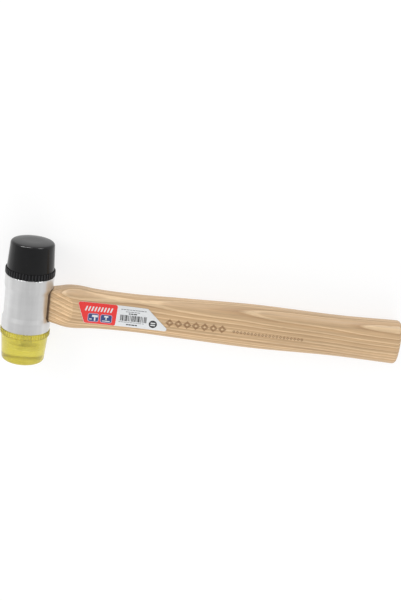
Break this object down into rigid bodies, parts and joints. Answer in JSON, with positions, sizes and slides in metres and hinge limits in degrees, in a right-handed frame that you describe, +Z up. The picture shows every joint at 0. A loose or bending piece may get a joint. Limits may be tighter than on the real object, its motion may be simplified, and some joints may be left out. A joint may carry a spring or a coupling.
{
  "type": "dead blow mallet",
  "caption": "Two-face mallet: hollow shot-loaded metal head with a screw-in black rubber face and a clear yellow one, on a pinned hickory handle.",
  "frame": {"origin": "middle of the underside of the whole mallet, lying on its side on the two face rims and the lower edge of the butt", "axes": "+X along the handle towards the butt (the handle itself drops 1.4 degrees towards the floor), +Y along the head towards the black face, +Z up, out of the labelled side of the handle"},
  "size_m": [0.2924, 0.0914, 0.0358],
  "materials": {
    "barrel_metal": "satin, brushed round the barrel",
    "inner_metal": "as turned",
    "hickory": "sanded, clear oiled",
    "wedge_wood": "sawn",
    "pin_steel": "rolled spring steel",
    "sticker": "semi-gloss printed film",
    "black_rubber": "moulded, slightly glossy",
    "yellow_plastic": "clear yellow, polished",
    "screw_steel": "zinc plated",
    "shot_steel": "hardened shot"
  },
  "bodies": {
    "head": {"head_barrel": "barrel_metal", "upper_plug": "inner_metal", "lower_plug": "inner_metal", "handle_sleeve": "inner_metal", "handle": "hickory", "tenon_wedge": "wedge_wood", "handle_pin": "pin_steel", "handle_label": "sticker"},
    "black_washer": {"black_face_washer": "screw_steel"},
    "black_tip": {"black_face": "black_rubber", "black_face_screw": "screw_steel"},
    "yellow_washer": {"yellow_face_washer": "screw_steel"},
    "yellow_tip": {"yellow_face": "yellow_plastic", "yellow_face_screw": "screw_steel"},
    "shot_charge": {"shot_01": "shot_steel", "shot_02": "shot_steel", "shot_03": "shot_steel", "shot_04": "shot_steel", "shot_05": "shot_steel", "shot_06": "shot_steel", "shot_07": "shot_steel", "shot_08": "shot_steel", "shot_09": "shot_steel", "shot_10": "shot_steel", "shot_11": "shot_steel", "shot_12": "shot_steel", "shot_13": "shot_steel", "shot_14": "shot_steel", "shot_15": "shot_steel", "shot_16": "shot_steel"}
  },
  "joints": [
    {"name": "black_face_travel", "type": "slide", "parent": "head", "child": "black_washer", "axis": [0, 1, 0], "range_m": [0, 0.00625]},
    {"name": "black_face_turn", "type": "hinge", "parent": "black_washer", "child": "black_tip", "pos_m": [-0.12826, 0.02073, 0.0179], "axis": [0, 1, 0], "range_deg": [0, 1800]},
    {"name": "yellow_face_travel", "type": "slide", "parent": "head", "child": "yellow_washer", "axis": [0, -1, 0], "range_m": [0, 0.00625]},
    {"name": "yellow_face_turn", "type": "hinge", "parent": "yellow_washer", "child": "yellow_tip", "pos_m": [-0.12826, -0.02073, 0.0179], "axis": [0, -1, 0], "range_deg": [0, 1800]},
    {"name": "shot_slide", "type": "slide", "parent": "head", "child": "shot_charge", "axis": [0, 1, 0], "range_m": [-0.0024, 0.0036]}
  ],
  "couplings": [
    {"joint": "black_face_travel", "follows": "black_face_turn", "m_per_rad": 0.00019894},
    {"joint": "yellow_face_travel", "follows": "yellow_face_turn", "m_per_rad": 0.00019894}
  ]
}
